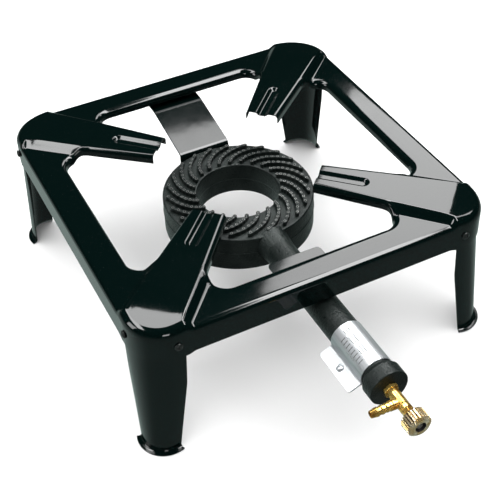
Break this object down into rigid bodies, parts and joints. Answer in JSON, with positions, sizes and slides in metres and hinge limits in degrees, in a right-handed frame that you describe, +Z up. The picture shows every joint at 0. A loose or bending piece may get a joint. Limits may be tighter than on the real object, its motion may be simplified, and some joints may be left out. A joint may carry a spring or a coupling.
{
  "type": "propane burner stand",
  "caption": "Square pressed-steel gas burner stand with legs, pot-support arms, a cast-iron ring burner on a mixing tube, a sliding air sleeve and a needle valve with a knob.",
  "frame": {"origin": "centre of the whole object's box in plan, at floor level", "axes": "+Z up; -Y toward the valve and knob, so +Y runs along the mixing tube to the ring; +X right seen from the knob"},
  "size_m": [0.4114, 0.5678, 0.1676],
  "materials": {
    "enamel": "gloss",
    "cast_iron": "matte",
    "zinc_plate": "satin",
    "brass": "machined",
    "black_steel": "satin",
    "nickel_brass": "polished",
    "packing": "matte"
  },
  "bodies": {
    "stand": {"top_frame": "enamel", "leg_rear_right": "enamel", "leg_rear_left": "enamel", "leg_front_left": "enamel", "leg_front_right": "enamel", "leg_screw_rear_right_1": "black_steel", "leg_nut_rear_right_1": "black_steel", "leg_screw_rear_right_2": "black_steel", "leg_nut_rear_right_2": "black_steel", "leg_screw_rear_left_1": "black_steel", "leg_nut_rear_left_1": "black_steel", "leg_screw_rear_left_2": "black_steel", "leg_nut_rear_left_2": "black_steel", "leg_screw_front_left_1": "black_steel", "leg_nut_front_left_1": "black_steel", "leg_screw_front_left_2": "black_steel", "leg_nut_front_left_2": "black_steel", "leg_screw_front_right_1": "black_steel", "leg_nut_front_right_1": "black_steel", "leg_screw_front_right_2": "black_steel", "leg_nut_front_right_2": "black_steel", "rear_bracket": "enamel", "ring_screw": "black_steel", "front_bracket": "enamel", "tube_screw": "black_steel", "burner_casting": "cast_iron", "injector": "brass", "lock_nut": "brass", "valve_body": "brass", "hose_barb": "brass", "packing_ring": "packing", "gland_nut": "brass"},
    "sleeve": {"air_sleeve": "zinc_plate", "sleeve_screw": "zinc_plate", "sleeve_nut": "zinc_plate"},
    "spindle": {"spindle": "brass"},
    "knob": {"knob": "nickel_brass", "knob_screw": "black_steel"}
  },
  "joints": [
    {"name": "sleeve_slide", "type": "slide", "parent": "stand", "child": "sleeve", "axis": [0, 1, 0], "range_m": [0, 0.026]},
    {"name": "spindle_travel", "type": "slide", "parent": "stand", "child": "spindle", "axis": [0, -1, 0], "range_m": [0, 0.0015]},
    {"name": "knob_turn", "type": "hinge", "parent": "spindle", "child": "knob", "pos_m": [0, -0.26892, 0.11], "axis": [0, -1, 0], "range_deg": [0, 540]}
  ],
  "couplings": [
    {"joint": "knob_turn", "follows": "spindle_travel", "rad_per_m": 6283.2}
  ]
}
